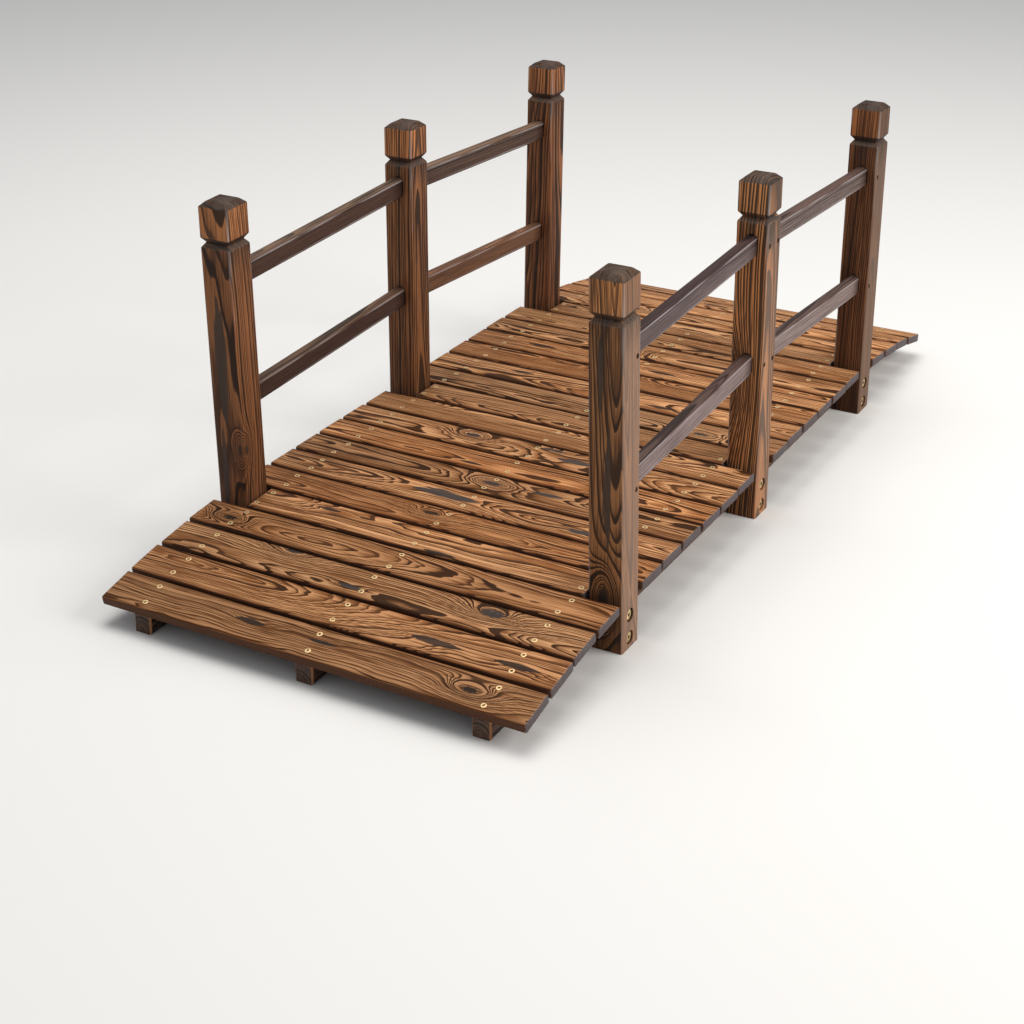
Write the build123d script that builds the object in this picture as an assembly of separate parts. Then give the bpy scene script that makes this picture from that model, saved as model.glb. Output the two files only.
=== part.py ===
from build123d import *

import os
from math import atan2, cos, radians, sin, sqrt

# Wooden garden footbridge: twenty-three cross planks on three stringers, with three posts
# and two sloping rails along each side. All lengths are in millimetres.
# Frame: X runs along the walkway, Y across it, Z up. The origin is the middle of the
# footprint, on the ground.

# Deck: flat in the middle, and bent down in an arc at both ends
plank_rows = 23
plank_length = 660.0
plank_width = 60.0
plank_thickness = 14.0
plank_gap = 6.0
plank_edge_radius = 3.0
plank_underside_bevel = 2.0
flat_half_length = 400.0
end_arc_radius = 1500.0

# Stringers: three boards on edge, with a straight foot and a top cut to the deck's curve
stringer_thickness = 27.0
stringer_depth = 69.0
stringer_end_setback = 5.0
stringer_edge_bevel = 2.0

# Posts: square, with a V groove under a cap block that ends in a blunt pyramid
post_width = 50.0
post_edge_bevel = 3.0
post_row_offset = 7
post_spacing_inside = 556.0
post_end_clearance = 4.0
post_lean = 1.8
post_rim_above_deck = 446.0
cap_block_height = 45.0
cap_bevel_height = 8.0
cap_bevel_width = 9.0
groove_height = 15.0
groove_depth = 6.0

# Rails: rounded bars let into slots in the posts, higher at the middle posts
rail_height = 33.0
rail_thickness = 17.0
rail_corner_radius = 5.0
rail_slot_clearance = 1.5
rail_slot_depth = 18.0
upper_rail_at_end_post = 334.0
upper_rail_at_middle_post = 353.0
lower_rail_at_end_post = 145.0
lower_rail_at_middle_post = 168.0

# Screw holes in the outer faces of the posts, one for each rail end
rail_screw_hole_diameter = 8.0
rail_screw_hole_depth = 5.0

# Bolts: two through each post and the stringer behind it, with a flat head in a recess
bolt_diameter = 8.0
bolt_hole_clearance = 0.25
bolt_head_diameter = 16.0
bolt_head_height = 4.0
bolt_recess_diameter = 20.0
bolt_recess_depth = 6.0
upper_bolt_height = 49.0
lower_bolt_height = 15.0
bolt_tail = 3.0
washer_diameter = 18.0
washer_thickness = 1.6
nut_across_flats = 13.0
nut_height = 6.5

# Flats round each bolt, washer and round hole
flats_per_circle = 12

# Worked out from the sizes above
row_pitch = plank_width + plank_gap
deck_top = stringer_depth + plank_thickness
middle_row = (plank_rows + 1) // 2
post_rows = {
    "near": middle_row - post_row_offset,
    "middle": middle_row,
    "far": middle_row + post_row_offset,
}
sides = {"left": 1, "right": -1}
short_plank_length = post_spacing_inside - 2 * post_end_clearance
post_outer_y = post_spacing_inside / 2 + post_width
post_center_y = post_outer_y - post_width / 2
stringer_center_y = post_spacing_inside / 2 - stringer_thickness / 2
bolt_hole_diameter = bolt_diameter + 2 * bolt_hole_clearance
bolt_heights = (upper_bolt_height, lower_bolt_height)
rail_heights = {
    "upper": (upper_rail_at_end_post, upper_rail_at_middle_post),
    "lower": (lower_rail_at_end_post, lower_rail_at_middle_post),
}

# Length of a cut that runs clean through a face
overrun = 1.0


def deck_plane(row):
    """Plane on the deck's top face at the middle of a row: local X follows the slope."""
    along = (row - middle_row) * row_pitch
    side = 1 if along > 0 else -1
    past_flat = max(abs(along) - flat_half_length, 0.0)
    angle = past_flat / end_arc_radius
    x = side * (abs(along) - past_flat + end_arc_radius * sin(angle))
    z = deck_top - end_arc_radius * (1 - cos(angle))
    tilt = side * sin(angle)
    return Plane(origin=(x, 0, z), x_dir=(cos(angle), 0, -tilt), z_dir=(tilt, 0, cos(angle)))


def make_plank(length):
    """A board lying along Y, its top face at Z 0: rounded long edges above, bevelled below."""
    board = Box(
        plank_width, length, plank_thickness, align=(Align.CENTER, Align.CENTER, Align.MAX)
    )
    upper_edges = board.edges().filter_by(Axis.Y).group_by(Axis.Z)[-1]
    board = fillet(upper_edges, plank_edge_radius)
    lower_edges = board.edges().filter_by(Axis.Y).group_by(Axis.Z)[0]
    return chamfer(lower_edges, plank_underside_bevel)


def deck_end_x():
    """How far the top edge of the last plank lies from the middle of the bridge."""
    last = deck_plane(plank_rows)
    return (last * Location((plank_width / 2, 0, 0))).position.X


def make_stringer():
    """A board on edge in the XZ plane: straight foot, flat top, and an arc down to each tip."""
    half_length = deck_end_x() - stringer_end_setback
    top_radius = end_arc_radius - plank_thickness
    arc_center_z = deck_top - end_arc_radius
    arc_run = half_length - flat_half_length
    tip_z = arc_center_z + sqrt(top_radius**2 - arc_run**2)
    half_angle = atan2(arc_run, tip_z - arc_center_z) / 2
    bend_x = flat_half_length + top_radius * sin(half_angle)
    bend_z = arc_center_z + top_radius * cos(half_angle)
    foot = (half_length, 0)
    tip = (half_length, tip_z)
    crest = (flat_half_length, stringer_depth)
    with BuildPart() as board:
        with BuildSketch(Plane.XZ):
            with BuildLine():
                Line((0, 0), foot)
                Line(foot, tip)
                ThreePointArc(tip, (bend_x, bend_z), crest)
                Line(crest, (0, stringer_depth))
                mirror(about=Plane.YZ)
            make_face()
        extrude(amount=stringer_thickness / 2, both=True)
        foot_edges = board.edges().group_by(Axis.Z)[0].filter_by(Axis.X)
        tip_edges = board.edges().filter_by(Axis.Z)
        chamfer(foot_edges + tip_edges, stringer_edge_bevel)
    return board.part


def post_axis(position):
    """Plane at the foot of a post: origin on the ground, local Z up along the leaning post."""
    lean = {"near": -1, "middle": 0, "far": 1}[position] * radians(post_lean)
    top = deck_plane(post_rows[position]).origin
    up = Vector(sin(lean), 0, cos(lean))
    foot = top - up * (top.Z / up.Z)
    return Plane(origin=foot, x_dir=(cos(lean), 0, -sin(lean)), z_dir=up)


def post_silhouette():
    """Half widths of the post against its height, from below the foot to the blunt pyramid."""
    half = post_width / 2
    rim = deck_top + post_rim_above_deck
    block = rim - cap_block_height
    return [
        (half, -post_width),
        (half, block - groove_height),
        (half - groove_depth, block - groove_height / 2),
        (half, block),
        (half, rim),
        (half - cap_bevel_width, rim + cap_bevel_height),
    ]


def make_post():
    """An upright post before its slots are cut: both silhouettes crossed, and edges bevelled."""
    right = post_silhouette()
    left = [(-width, height) for width, height in reversed(right)]
    outline = make_face(Polyline(*right, *left, close=True))
    front = extrude(Plane.XZ * outline, post_width / 2, both=True)
    side = extrude(Plane.YZ * outline, post_width / 2, both=True)
    section = chamfer(Rectangle(post_width, post_width).vertices(), post_edge_bevel)
    foot, top = right[0][1], right[-1][1]
    return front & side & extrude(Pos(0, 0, foot) * section, top - foot)


def rail_ends(position, level, side):
    """The two points where a rail's axis meets the axes of its posts."""
    at_end, at_middle = rail_heights[level]
    end_axis = post_axis(position)
    height = (deck_top + at_end) / end_axis.z_dir.Z
    end_point = end_axis.origin + end_axis.z_dir * height
    y = sides[side] * post_center_y
    middle_x = deck_plane(middle_row).origin.X
    return Vector(end_point.X, y, end_point.Z), Vector(middle_x, y, deck_top + at_middle)


def rail_span(position, level, side):
    """A rail's length, and the plane at its end in the end post: local Z runs along the rail."""
    start, stop = rail_ends(position, level, side)
    along = (stop - start).normalized()
    inset = post_width / 2 - rail_slot_depth
    plane = Plane(origin=start + along * inset, x_dir=(0, 1, 0), z_dir=along)
    return plane, (stop - start).length - 2 * inset


def make_rail(position, level, side):
    """A bar with rounded corners whose ends stop at the bottoms of the two slots."""
    plane, length = rail_span(position, level, side)
    section = RectangleRounded(rail_thickness, rail_height, rail_corner_radius)
    return extrude(plane * section, length)


def make_rail_slots(position, level, side):
    """The round-ended slots for one rail, as a bar that is cut from both of its posts."""
    plane, length = rail_span(position, level, side)
    width = rail_thickness + 2 * rail_slot_clearance
    height = rail_height + 2 * rail_slot_clearance
    return extrude(plane * SlotOverall(height, width, rotation=90), length)


def rails_at(position):
    """Which rails end in a post: the middle posts carry the near and the far ones."""
    spans = ("near", "far") if position == "middle" else (position,)
    return [(span, level) for level in rail_heights for span in spans]


def outward_plane(point, side, distance):
    """Plane that faces out from the bridge beside a point, at a distance from its middle line."""
    outwards = sides[side]
    origin = (point.X, outwards * distance, point.Z)
    return Plane(origin=origin, x_dir=(1, 0, 0), z_dir=(0, outwards, 0))


def outward_bar(point, side, diameter, start, stop):
    """A round bar across the bridge at a point, between two distances from the middle line."""
    section = RegularPolygon(diameter / 2, flats_per_circle)
    return extrude(outward_plane(point, side, start) * section, stop - start)


def rail_screw_points(position, side):
    """Where the rail screws cross a post, halfway along the ends of the rails inside it."""
    end_middle = (post_width - rail_slot_depth) / 2
    points = []
    for span, level in rails_at(position):
        start, stop = rail_ends(span, level, side)
        along = (stop - start).normalized()
        points.append(stop - along * end_middle if position == "middle" else start + along * end_middle)
    return points


def bolt_points(position):
    """Where the two bolts of a post cross its axis."""
    axis = post_axis(position)
    return [axis.origin + axis.z_dir * (height / axis.z_dir.Z) for height in bolt_heights]


def cut_post(position, side):
    """A post in its place, with its rail slots, screw holes and bolt holes cut."""
    axis = post_axis(position)
    post = Pos(0, sides[side] * post_center_y, 0) * axis.location * make_post()
    below_ground = Pos(axis.origin.X, sides[side] * post_center_y, 0) * Box(
        3 * post_width, 2 * post_width, 2 * post_width, align=(Align.CENTER, Align.CENTER, Align.MAX)
    )
    cuts = [below_ground]
    for span, level in rails_at(position):
        cuts.append(make_rail_slots(span, level, side))
    outside = post_outer_y + overrun
    for point in rail_screw_points(position, side):
        bottom = post_outer_y - rail_screw_hole_depth
        cuts.append(outward_bar(point, side, rail_screw_hole_diameter, bottom, outside))
    for point in bolt_points(position):
        seat = post_outer_y - bolt_recess_depth
        inside = post_outer_y - post_width - overrun
        cuts.append(outward_bar(point, side, bolt_recess_diameter, seat, outside))
        cuts.append(outward_bar(point, side, bolt_hole_diameter, inside, outside))
    return post - cuts


def cut_stringer(side):
    """An outer stringer in its place, with the bolt holes of its three posts."""
    outer = stringer_center_y + stringer_thickness / 2 + overrun
    inner = stringer_center_y - stringer_thickness / 2 - overrun
    board = Pos(0, sides[side] * stringer_center_y, 0) * make_stringer()
    cuts = [
        outward_bar(point, side, bolt_hole_diameter, inner, outer)
        for position in post_rows
        for point in bolt_points(position)
    ]
    return board - cuts


def make_bolt(point, side):
    """A bolt in its hole, its head in the recess, with a washer and nut behind the stringer."""
    seat = post_outer_y - bolt_recess_depth
    board_face = stringer_center_y - stringer_thickness / 2
    washer_face = board_face - washer_thickness
    nut_face = washer_face - nut_height
    bolt = outward_bar(point, side, bolt_diameter, nut_face - bolt_tail, seat)
    bolt += outward_bar(point, side, bolt_head_diameter, seat, seat + bolt_head_height)
    bore = outward_bar(point, side, bolt_diameter, nut_face, board_face)
    washer = outward_bar(point, side, washer_diameter, washer_face, board_face) - bore
    hexagon = RegularPolygon(nut_across_flats / 2, 6, major_radius=False)
    nut = extrude(outward_plane(point, side, nut_face) * hexagon, nut_height) - bore
    return [bolt, washer, nut]


parts = {}
for row in range(1, plank_rows + 1):
    length = short_plank_length if row in post_rows.values() else plank_length
    parts[f"plank_{row:02d}"] = deck_plane(row).location * make_plank(length)
parts["stringer_middle"] = make_stringer()
for side in sides:
    parts[f"stringer_{side}"] = cut_stringer(side)
    bolts = []
    for position in post_rows:
        parts[f"post_{position}_{side}"] = cut_post(position, side)
        for point in bolt_points(position):
            bolts.extend(make_bolt(point, side))
    parts[f"bolts_{side}"] = Compound(children=bolts)
    for level in rail_heights:
        for span in ("near", "far"):
            parts[f"rail_{level}_{span}_{side}"] = make_rail(span, level, side)

os.makedirs("parts", exist_ok=True)
for name, shape in parts.items():
    export_step(shape, f"parts/{name}.step")
print(len(parts), "nodes; deck top at", deck_top, "mm")
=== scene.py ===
from math import atan2, cos, radians, sin
from random import Random

import bpy
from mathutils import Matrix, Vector


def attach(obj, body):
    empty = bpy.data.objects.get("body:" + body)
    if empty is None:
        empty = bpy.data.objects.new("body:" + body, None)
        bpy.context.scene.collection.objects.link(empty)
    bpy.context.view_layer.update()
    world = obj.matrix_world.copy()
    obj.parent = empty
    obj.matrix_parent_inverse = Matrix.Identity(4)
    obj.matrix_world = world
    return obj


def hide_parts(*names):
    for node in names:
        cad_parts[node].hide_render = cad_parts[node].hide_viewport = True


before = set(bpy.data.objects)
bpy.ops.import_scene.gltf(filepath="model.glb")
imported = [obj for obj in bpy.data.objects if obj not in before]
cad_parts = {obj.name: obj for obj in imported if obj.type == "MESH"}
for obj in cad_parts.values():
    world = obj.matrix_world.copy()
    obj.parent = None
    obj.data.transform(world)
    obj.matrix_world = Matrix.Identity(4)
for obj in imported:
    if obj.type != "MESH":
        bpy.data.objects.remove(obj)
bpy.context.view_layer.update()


# Stringers
# Three softwood boards on edge carry the deck. They are stained a dark brown and lie in the
# deck's own shadow, so that only their tips and the outer faces of the side ones are seen.

stringer_thickness = 0.027
stringer_depth = 0.069
stringer_middle_y = 0.2645
stringer_tip_x = 0.7465
quarter_turn = radians(90)
stringer_stain = {
    "pale": (0.125, 0.066, 0.040, 1),
    "warm": (0.070, 0.035, 0.022, 1),
    "late": (0.014, 0.009, 0.007, 1),
}
brown_soot = (0.030, 0.021, 0.017, 1)
worn_edge = (0.34, 0.150, 0.060, 1)
worn_edge_share = 0.8

# a band is how far inside a face a mark begins, and how far inside it is full, and an edge holds
# the values where a mark begins and is full
stringer_tip_band = (0.0032, 0.0018)
stringer_face_band = (0.0025, 0.0013)


def add_node(tree, kind, inputs, **options):
    """Adds a shader node, with its options set and its inputs filled or linked."""
    node = tree.nodes.new(kind)
    for name, value in options.items():
        setattr(node, name, value)
    for name, value in inputs.items():
        if isinstance(value, bpy.types.NodeSocket):
            tree.links.new(value, node.inputs[name])
        else:
            node.inputs[name].default_value = value
    return node


def reckon(tree, operation, *values):
    """The result of a Math node."""
    return add_node(tree, "ShaderNodeMath", dict(enumerate(values)), operation=operation).outputs[0]


def reckon_vector(tree, operation, *values):
    """The result of a Vector Math node."""
    node = add_node(tree, "ShaderNodeVectorMath", dict(enumerate(values)), operation=operation)
    return node.outputs[0]


def product(tree, *values):
    """The product of several values."""
    result = values[0]
    for value in values[1:]:
        result = reckon(tree, "MULTIPLY", result, value)
    return result


def all_but(tree, share):
    """What a share leaves of the whole."""
    return reckon(tree, "SUBTRACT", 1.0, share)


def split(tree, vector):
    """The X, Y and Z of a vector, by name."""
    return add_node(tree, "ShaderNodeSeparateXYZ", {0: vector}).outputs


def ramp(tree, value, start, stop, low=0.0, high=1.0):
    """A smooth step of a value, from low at start to high at stop."""
    inputs = {"Value": value, "From Min": start, "From Max": stop, "To Min": low, "To Max": high}
    return add_node(tree, "ShaderNodeMapRange", inputs, interpolation_type="SMOOTHSTEP").outputs[0]


def near_faces(tree, value, half, band):
    """A share that rises over a band inside two opposite faces, half a width from the middle."""
    start, stop = band
    return ramp(tree, reckon(tree, "ABSOLUTE", value), half - start, half - stop)


def blend_colours(tree, share, first, second):
    """A mix of two colours."""
    inputs = {0: share, 6: first, 7: second}
    return add_node(tree, "ShaderNodeMix", inputs, data_type="RGBA").outputs[2]


def grain_noise(tree, place, stretch, detail=2.0, output=0):
    """Noise on a place in the board, stretched by its three scales: a value, or a colour."""
    scaled = reckon_vector(tree, "MULTIPLY", place, stretch)
    inputs = {"Vector": scaled, "Scale": 1.0, "Detail": detail}
    return add_node(tree, "ShaderNodeTexNoise", inputs).outputs[output]


def drift(tree, place, stretch, reach):
    """A sideways shift of the grain, in X and Z, that varies from place to place."""
    noise = grain_noise(tree, place, stretch, 0.0, "Color")
    middled = reckon_vector(tree, "ADD", noise, (-0.5, -0.5, -0.5))
    return reckon_vector(tree, "MULTIPLY", middled, (reach, 0.0, reach))


knot_length_to_width = 2.6
knot_lean = 20.0
knot_fade = -0.90
knot_push_in_rings = 17.0
knot_ragged_scale = (420, 160, 420)
knot_heart_edge = (1.00, 0.62)
knot_reach = (7.0, 2.0)


def knot_shape(tree, place, knot, ring):
    """How far a knot of X, Y and size pushes the rings aside, its dark heart, and its reach.

    The knot leans inwards as it rises towards the face.
    """
    offset = split(tree, reckon_vector(tree, "SUBTRACT", place, knot))
    size = split(tree, knot)["Z"]
    lean = product(tree, split(tree, place)["Z"], knot_lean)
    across = reckon(tree, "MULTIPLY_ADD", lean, split(tree, knot)["X"], offset["X"])
    across = reckon(tree, "DIVIDE", across, size)
    along = reckon(tree, "DIVIDE", offset["Y"], product(tree, size, knot_length_to_width))
    apart = reckon(tree, "MULTIPLY_ADD", along, along, product(tree, across, across))
    swell = reckon(tree, "EXPONENT", product(tree, reckon(tree, "SQRT", apart), knot_fade))
    push = product(tree, swell, product(tree, ring, knot_push_in_rings))
    ragged = reckon(tree, "ADD", apart, grain_noise(tree, place, knot_ragged_scale))
    return push, ramp(tree, ragged, *knot_heart_edge), ramp(tree, apart, *knot_reach)


scorch_fade = -0.30
scorch_ragged_scale = (120, 11, 120)
scorch_raggedness = 1.3
scorch_edge = (1.44, 1.20)


def scorch_shape(tree, place, scorch, stretch):
    """A long dark patch with pointed ends, where the board's face lies along one ring."""
    offset = split(tree, reckon_vector(tree, "SUBTRACT", place, scorch))
    size = split(tree, scorch)["Z"]
    across = reckon(tree, "DIVIDE", reckon(tree, "ABSOLUTE", offset["X"]), size)
    along = reckon(tree, "DIVIDE", offset["Y"], product(tree, size, stretch))
    apart = reckon(tree, "MULTIPLY_ADD", along, along, across)
    push = product(tree, reckon(tree, "EXPONENT", product(tree, apart, scorch_fade)), size)
    ragged = grain_noise(tree, place, scorch_ragged_scale)
    ragged = reckon(tree, "MULTIPLY_ADD", ragged, scorch_raggedness, apart)
    return push, ramp(tree, ragged, *scorch_edge)


# scales are per metre across, along and out of the board, and reaches are in metres
line_wobbles = (((60, 13, 60), 0.0034), ((200, 34, 200), 0.0011))
heart_sway = ((4, 1.2, 4), 0.034)
ring_swells = (((14, 3.6, 14), 0.018), ((30, 8, 30), 0.007))


def ring_radius(tree, given, shifted):
    """How far a point is from the heart line, and its shares of knot, near knot and scorch.

    Every line wobbles, the heart line sways, and the rings about it swell along the grain.
    """
    wobbled = given["Place"]
    for stretch, reach in line_wobbles:
        moved = reckon_vector(tree, "MULTIPLY", drift(tree, shifted, stretch, reach), given["Sway"])
        wobbled = reckon_vector(tree, "ADD", wobbled, moved)
    moved = reckon_vector(tree, "MULTIPLY", drift(tree, shifted, *heart_sway), given["Sway"])
    swayed = split(tree, reckon_vector(tree, "ADD", wobbled, moved))
    heart = split(tree, given["Heart"])
    slope = split(tree, given["Heart Slope"])
    heart_x = reckon(tree, "MULTIPLY_ADD", swayed["Y"], slope["X"], heart["X"])
    heart_z = reckon(tree, "MULTIPLY_ADD", swayed["Y"], slope["Z"], heart["Z"])
    across = reckon(tree, "SUBTRACT", swayed["X"], heart_x)
    depth = reckon(tree, "SUBTRACT", swayed["Z"], heart_z)
    apart = reckon(tree, "MULTIPLY_ADD", depth, depth, product(tree, across, across))
    radius = reckon(tree, "SQRT", apart)
    for stretch, reach in ring_swells:
        noise = product(tree, grain_noise(tree, shifted, stretch, 0.0), given["Sway"])
        radius = reckon(tree, "MULTIPLY_ADD", noise, reach, radius)
    knots = []
    reaches = []
    for name in ("Knot A", "Knot B"):
        push, middle, reach = knot_shape(tree, wobbled, given[name], given["Ring"])
        radius = reckon(tree, "ADD", radius, push)
        knots.append(middle)
        reaches.append(reach)
    scorches = []
    for name in ("Scorch A", "Scorch B"):
        push, middle = scorch_shape(tree, wobbled, given[name], given["Scorch Stretch"])
        radius = reckon(tree, "ADD", radius, push)
        scorches.append(middle)
    knots, near_knot, scorches = (
        reckon(tree, "MAXIMUM", *pair) for pair in (knots, reaches, scorches)
    )
    return radius, knots, near_knot, scorches


# late wood starts and is full at shares of its ring, both sooner where it is wider
ring_unevenness = 1.9
ring_unevenness_pace = 0.45
char_scale = (15, 2.2, 15)
char_edge = (0.50, 0.66)
char_at_knots = 0.9
late_width_by_chance = 0.22
late_width_by_char = 0.18
late_start = 0.88
late_full = 0.94
late_full_by_width = -0.62
late_end_edge = (1.0, 0.95)
darkness_by_chance = 0.50
darkness_by_char = 0.35


def late_wood(tree, given, shifted, radius, near_knot):
    """How far through its ring a point is, its share of late wood, and how dark that is.

    Each ring ends in a dark line of late wood, of its own width and strength.
    """
    turns = reckon(tree, "DIVIDE", radius, given["Ring"])
    inputs = {"W": product(tree, turns, ring_unevenness_pace), "Scale": 1.0, "Detail": 0.0}
    uneven = add_node(tree, "ShaderNodeTexNoise", inputs, noise_dimensions="1D").outputs[0]
    turns = reckon(tree, "MULTIPLY_ADD", uneven, ring_unevenness, turns)
    part_ring = reckon(tree, "FRACT", turns)
    inputs = {"W": reckon(tree, "FLOOR", turns)}
    ring_dice = add_node(tree, "ShaderNodeTexWhiteNoise", inputs, noise_dimensions="1D")
    chance = ring_dice.outputs["Value"]
    char = ramp(tree, grain_noise(tree, shifted, char_scale, detail=3.0), *char_edge)
    char = product(tree, char, given["Char"])
    char = reckon(tree, "MAXIMUM", char, product(tree, near_knot, char_at_knots))
    width = reckon(tree, "MULTIPLY_ADD", chance, late_width_by_chance, given["Late Width"])
    width = reckon(tree, "MULTIPLY_ADD", char, late_width_by_char, width)
    start = reckon(tree, "SUBTRACT", late_start, width)
    full = reckon(tree, "MULTIPLY_ADD", width, late_full_by_width, late_full)
    late = product(tree, ramp(tree, part_ring, start, full), ramp(tree, part_ring, *late_end_edge))
    darkness = reckon(tree, "MULTIPLY_ADD", chance, darkness_by_chance, given["Depth"])
    darkness = reckon(tree, "MULTIPLY_ADD", char, darkness_by_char, darkness)
    return part_ring, late, product(tree, darkness, late)


wood_inputs = {
    "NodeSocketVector": (
        "Place", "Shift", "Heart", "Heart Slope", "Knot A", "Knot B", "Scorch A", "Scorch B",
    ),
    "NodeSocketFloat": ("Sway", "Ring", "Late Width", "Scorch Stretch", "Char", "Depth"),
    "NodeSocketColor": ("Pale", "Warm", "Late", "Soot"),
}
cloud_scale = (22, 2.2, 22)
cloud_contrast = 1.6
fibre_scale = (620, 13, 620)
fibre_contrast = 2.8
warmth = -2.05
dark_fibres = (0.56, 0.74, 0.0, 0.36)
knot_fibres = (0.20, 0.50, 0.60, 0.95)
knot_soot = 0.85
soot_raggedness = 0.8
soot_edge = (0.55, 1.10)
soot_share = 0.92
fibre_relief = 0.45


def make_sawn_wood():
    """Node group of sawn softwood: growth rings about a heart line, cut by the board's faces."""
    tree = bpy.data.node_groups.new("sawn_wood", "ShaderNodeTree")
    for kind, names in wood_inputs.items():
        for name in names:
            tree.interface.new_socket(name, in_out="INPUT", socket_type=kind)
    tree.interface.new_socket("Colour", in_out="OUTPUT", socket_type="NodeSocketColor")
    tree.interface.new_socket("Relief", in_out="OUTPUT", socket_type="NodeSocketFloat")
    given = tree.nodes.new("NodeGroupInput").outputs
    shifted = reckon_vector(tree, "ADD", given["Place"], given["Shift"])
    radius, knots, near_knot, scorches = ring_radius(tree, given, shifted)
    part_ring, late, darkness = late_wood(tree, given, shifted, radius, near_knot)

    # early wood is palest just after a dark line, and varies in clouds and in fine fibres
    cloud = grain_noise(tree, shifted, cloud_scale)
    fibre = grain_noise(tree, shifted, fibre_scale)
    tone = reckon(tree, "MULTIPLY_ADD", cloud, cloud_contrast, warmth)
    tone = reckon(tree, "MULTIPLY_ADD", fibre, fibre_contrast, tone)
    tone = reckon(tree, "ADD", part_ring, tone)
    early = blend_colours(tree, ramp(tree, tone, 0.0, 1.0), given["Pale"], given["Warm"])
    darkness = reckon(tree, "MINIMUM", darkness, 1.0)
    darkness = reckon(tree, "MAXIMUM", darkness, ramp(tree, fibre, *dark_fibres))
    colour = blend_colours(tree, darkness, early, given["Late"])

    # knots and scorches are dark all over, and ragged along the fibres
    knots = product(tree, knots, ramp(tree, fibre, *knot_fibres))
    colour = blend_colours(tree, knots, colour, given["Late"])
    soot = reckon(tree, "MULTIPLY_ADD", fibre, soot_raggedness, scorches)
    soot = product(tree, ramp(tree, soot, *soot_edge), soot_share)
    soot = reckon(tree, "MAXIMUM", soot, product(tree, knots, knot_soot))
    colour = blend_colours(tree, soot, colour, given["Soot"])
    relief = reckon(tree, "MULTIPLY_ADD", fibre, fibre_relief, late)
    results = tree.nodes.new("NodeGroupOutput")
    tree.links.new(colour, results.inputs["Colour"])
    tree.links.new(relief, results.inputs["Relief"])
    return tree


sawn_wood = make_sawn_wood()
nowhere = (9.0, 9.0, 0.001)
grain_height = 0.0007
grain_height_share = 0.5
oiled_roughness = 0.58


def start_material(name):
    """A new material, with its node tree and its surface."""
    material = bpy.data.materials.new(name)
    material.use_nodes = True
    return material, material.node_tree, material.node_tree.nodes["Principled BSDF"]


def wood_material(name, centre, turn, stain, **grain):
    """Sawn wood on one piece: centre and turn give the piece's own place, grain along its Y."""
    material, tree, surface = start_material(name)
    coordinates = tree.nodes.new("ShaderNodeTexCoord")
    inputs = {"Vector": coordinates.outputs["Object"], "Location": centre, "Rotation": turn}
    place = add_node(tree, "ShaderNodeMapping", inputs, vector_type="TEXTURE").outputs[0]
    knot_a, knot_b = (list(grain.get("knots", ())) + [nowhere, nowhere])[:2]
    scorch_a, scorch_b = (list(grain.get("scorches", ())) + [nowhere, nowhere])[:2]
    inputs = {
        "Place": place,
        "Shift": grain["shift"],
        "Heart": grain["heart"],
        "Heart Slope": grain["slope"],
        "Sway": grain.get("sway", 1.0),
        "Ring": grain["ring"],
        "Late Width": grain.get("late_width", 0.18),
        "Char": grain.get("char", 1.0),
        "Depth": grain.get("depth", 0.5),
        "Knot A": knot_a,
        "Knot B": knot_b,
        "Scorch A": scorch_a,
        "Scorch B": scorch_b,
        "Scorch Stretch": grain.get("scorch_stretch", 4.5),
        "Pale": stain["pale"],
        "Warm": stain["warm"],
        "Late": stain["late"],
        "Soot": grain.get("soot", brown_soot),
    }
    rings = add_node(tree, "ShaderNodeGroup", inputs, node_tree=sawn_wood)
    inputs = {"Strength": grain_height_share, "Distance": grain_height, "Height": rings.outputs["Relief"]}
    relief = add_node(tree, "ShaderNodeBump", inputs)
    tree.links.new(rings.outputs["Colour"], surface.inputs["Base Color"])
    tree.links.new(relief.outputs["Normal"], surface.inputs["Normal"])
    surface.inputs["Roughness"].default_value = oiled_roughness
    surface.inputs["Specular IOR Level"].default_value = grain.get("gloss", 0.28)
    return material, place


def paint_wear_and_light(material, share, colour):
    """Mixes a colour into a wood material where a share says so: real wear and stains, and also painted
    light and shade.
    """
    tree = material.node_tree
    surface = tree.nodes["Principled BSDF"]
    below = surface.inputs["Base Color"].links[0].from_socket
    tree.links.new(blend_colours(tree, share, below, colour), surface.inputs["Base Color"])


def shade(material, share, factor):
    """Multiplies a wood material's colour by a factor where a share says so."""
    tree = material.node_tree
    surface = tree.nodes["Principled BSDF"]
    below = surface.inputs["Base Color"].links[0].from_socket
    changed = reckon_vector(tree, "MULTIPLY", below, factor)
    tree.links.new(blend_colours(tree, share, below, changed), surface.inputs["Base Color"])


def give_material(piece, material):
    """Leaves a piece with one material."""
    piece.data.materials.clear()
    piece.data.materials.append(material)


for side, y in (("left", stringer_middle_y), ("middle", 0.0), ("right", -stringer_middle_y)):
    stained, place = wood_material(
        f"stringer_stain_{side}",
        (0.0, y, stringer_depth / 2),
        (0, 0, -quarter_turn),
        stringer_stain,
        shift=(0.3 + y, 1.7, 0.4),
        heart=(0.010, 0.0, -0.030),
        slope=(0.02, 0.0, 0.01),
        ring=0.0045,
    )
    tree = stained.node_tree
    parts = split(tree, place)
    tips = near_faces(tree, parts["Y"], stringer_tip_x, stringer_tip_band)
    faces = near_faces(tree, parts["X"], stringer_thickness / 2, stringer_face_band)
    paint_wear_and_light(stained, product(tree, tips, faces, worn_edge_share), worn_edge)
    give_material(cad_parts[f"stringer_{side}"], stained)


# Planks
# Twenty-three softwood boards lie across the stringers. Each was sawn, scorched until the hard
# grain turned black, brushed and oiled, and its sides and ends stayed dark. Rounded long edges.

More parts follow.
